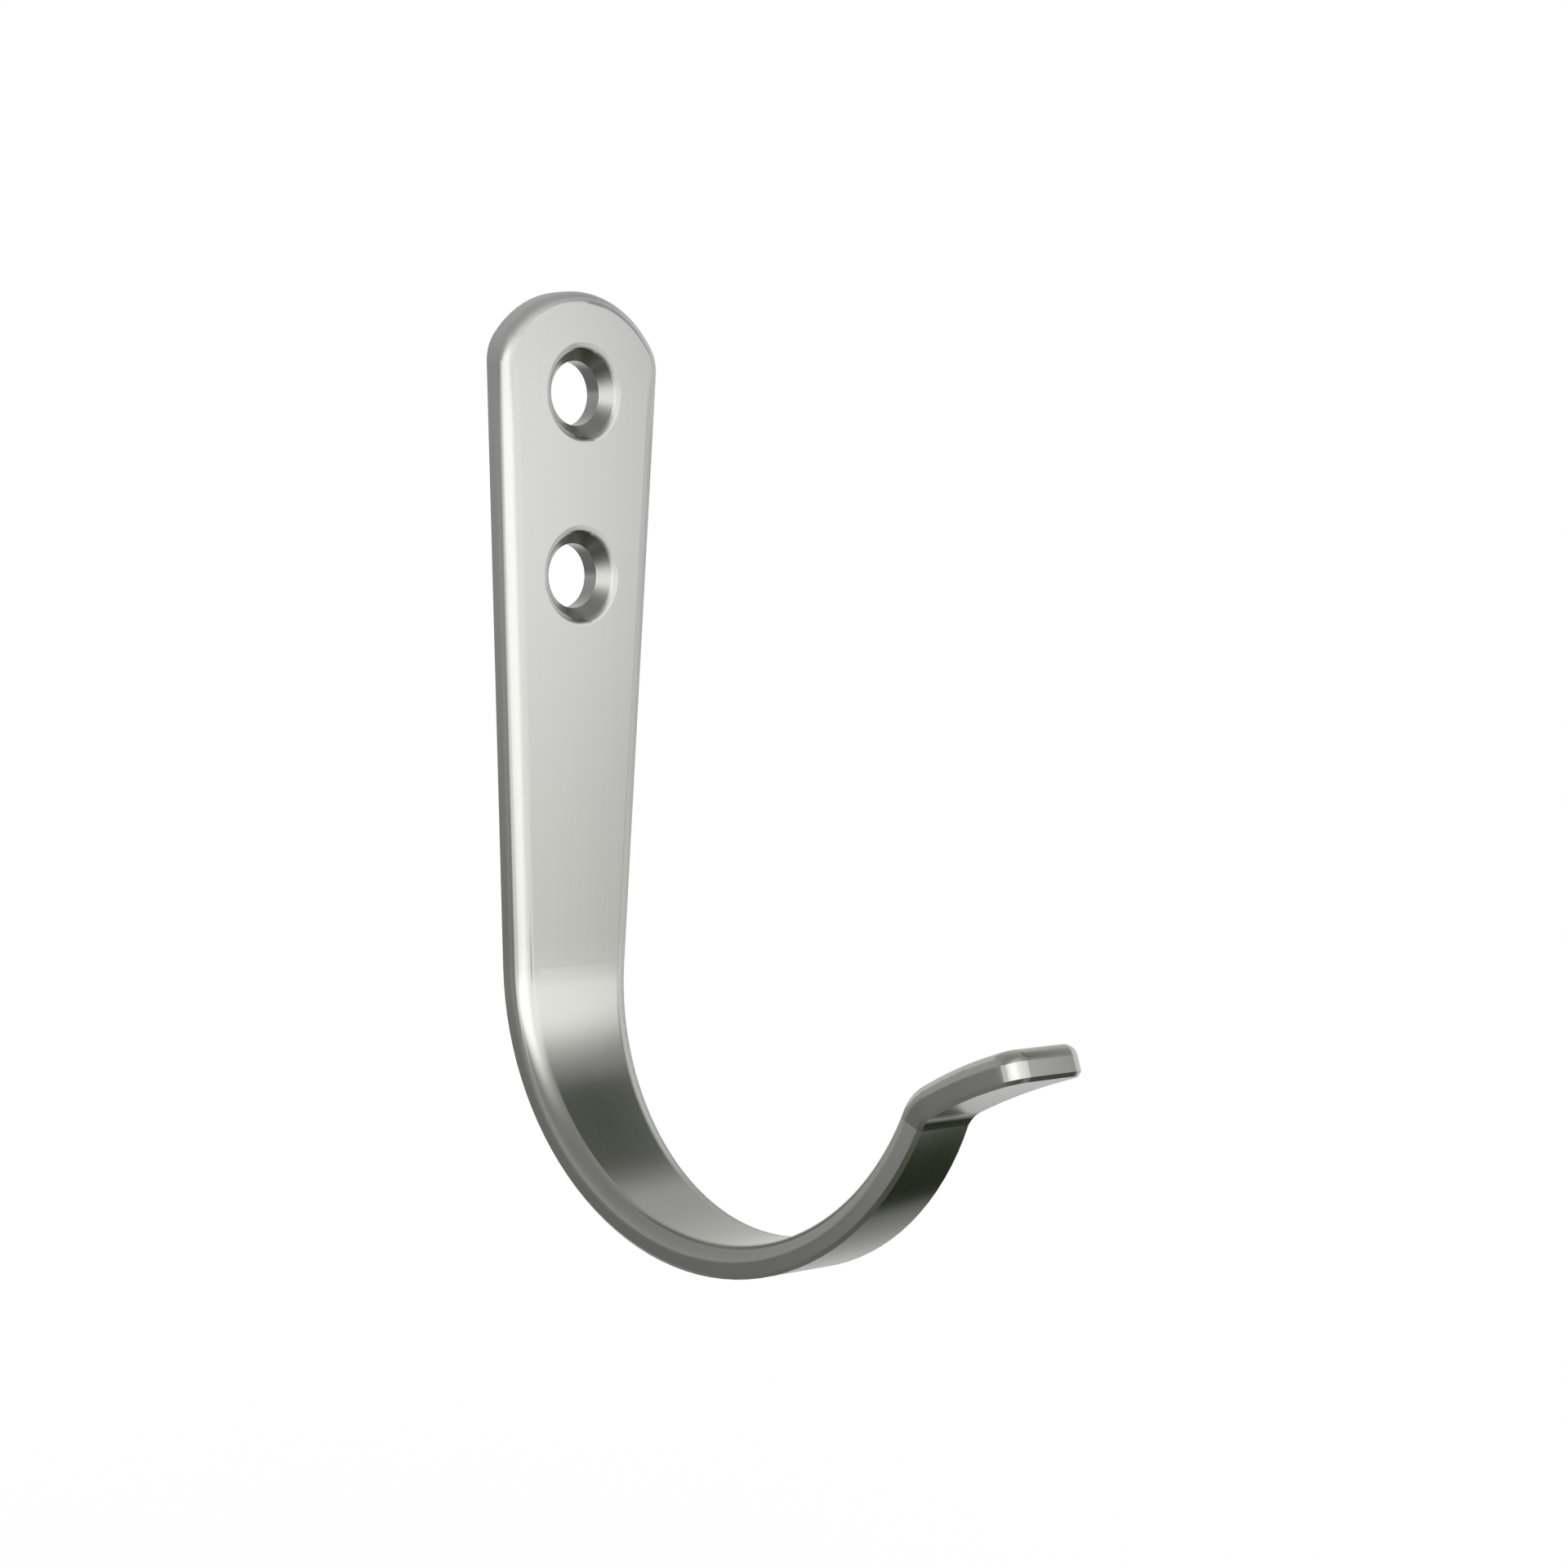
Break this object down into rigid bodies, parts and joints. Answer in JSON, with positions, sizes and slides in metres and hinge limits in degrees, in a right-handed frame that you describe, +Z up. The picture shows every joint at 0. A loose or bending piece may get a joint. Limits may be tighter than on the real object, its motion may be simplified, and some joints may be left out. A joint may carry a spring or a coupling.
{
  "type": "wall hook",
  "caption": "J-shaped wall hook bent from a tapered strip of brushed stainless sheet, with countersunk screw holes in its flat back plate and a flared, out-turned lip at the free end.",
  "frame": {"origin": "on the wall plane, midway between the centres of the two screw holes", "axes": "+X to the right as seen from the room, +Y into the wall (the hook comes out towards -Y), +Z up the wall"},
  "size_m": [0.017, 0.0522, 0.0761],
  "materials": {
    "steel": "satin brushed stainless steel"
  },
  "bodies": {
    "root": {"wall_hook": "steel"}
  },
  "joints": []
}
